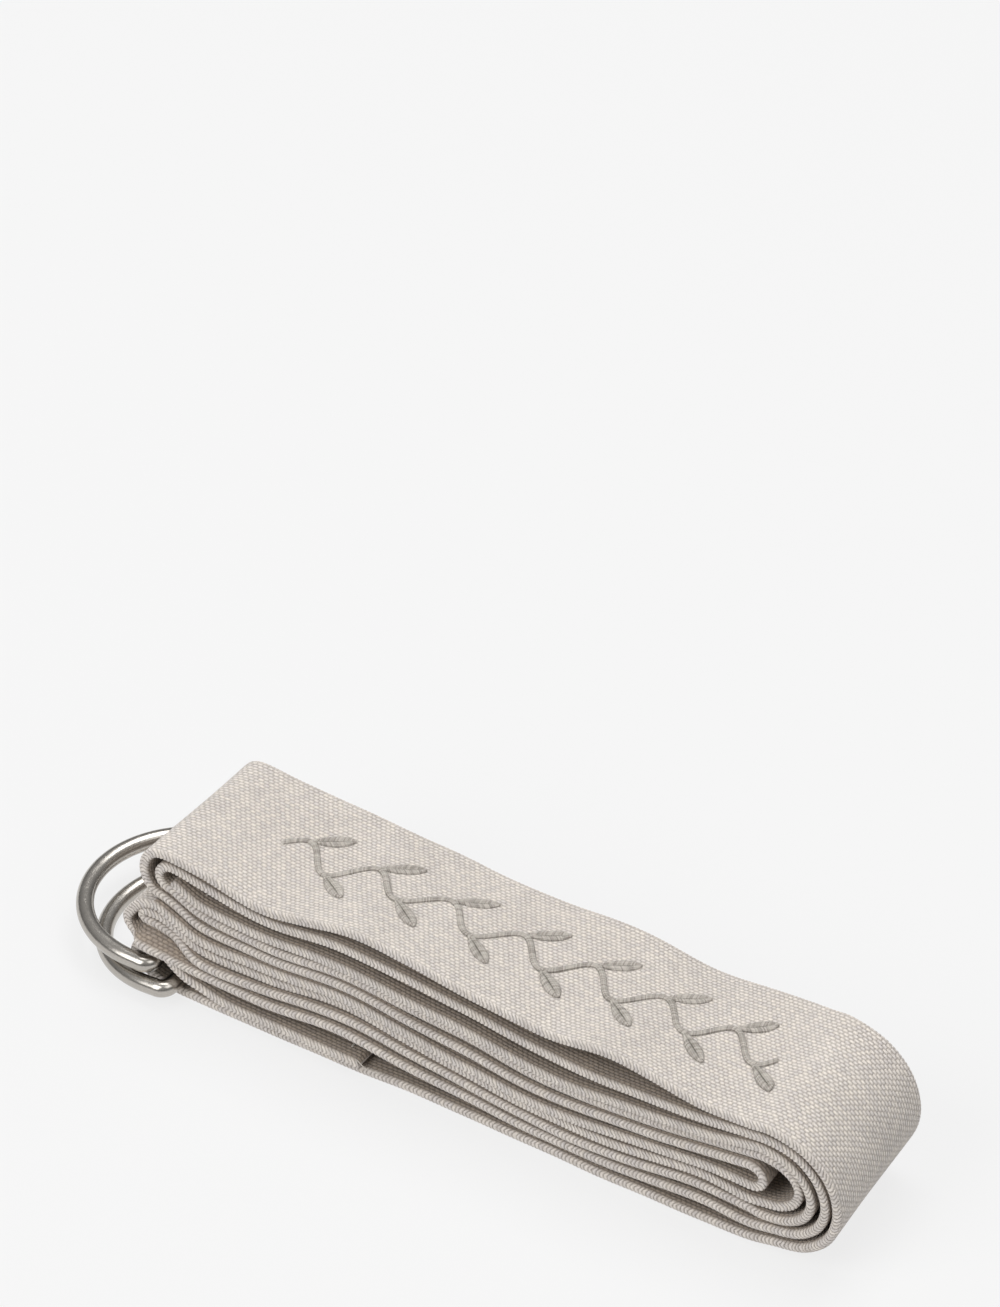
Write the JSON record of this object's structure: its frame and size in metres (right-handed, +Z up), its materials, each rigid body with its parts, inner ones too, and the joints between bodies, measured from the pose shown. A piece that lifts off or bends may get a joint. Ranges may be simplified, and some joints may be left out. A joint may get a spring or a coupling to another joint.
{
  "type": "stretching strap",
  "caption": "Flat woven stretching strap folded into a bundle, with a pair of D-rings in a sewn loop at one end.",
  "frame": {"origin": "on the surface that the folded strap lies on, under the middle of its bounding box", "axes": "+X along the folds away from the rings, +Y across the webbing, +Z up"},
  "size_m": [0.1972, 0.0478, 0.037],
  "materials": {
    "cotton_webbing": "thick plain-woven cotton webbing, undyed, matte",
    "nickel_rings": "satin nickel plate on steel wire",
    "seam_thread": "twisted polyester sewing thread, matte",
    "embroidery_thread": "satin stitch in tonal rayon thread, slight sheen"
  },
  "bodies": {
    "strap": {"webbing": "cotton_webbing", "ring_seam_stitching": "seam_thread", "tail_hem_stitching": "seam_thread", "embroidered_sprig": "embroidery_thread"},
    "upper_ring": {"d_ring_upper": "nickel_rings"},
    "lower_ring": {"d_ring_lower": "nickel_rings"}
  },
  "joints": [
    {"name": "upper_ring_swing", "type": "hinge", "parent": "strap", "child": "upper_ring", "pos_m": [-0.0717, 0, 0.00805], "axis": [0, 1, 0], "range_deg": [0, 25]},
    {"name": "lower_ring_lift", "type": "hinge", "parent": "strap", "child": "lower_ring", "pos_m": [-0.06724, 0, 0.0042], "axis": [0, 1, 0], "range_deg": [0, 3]}
  ]
}
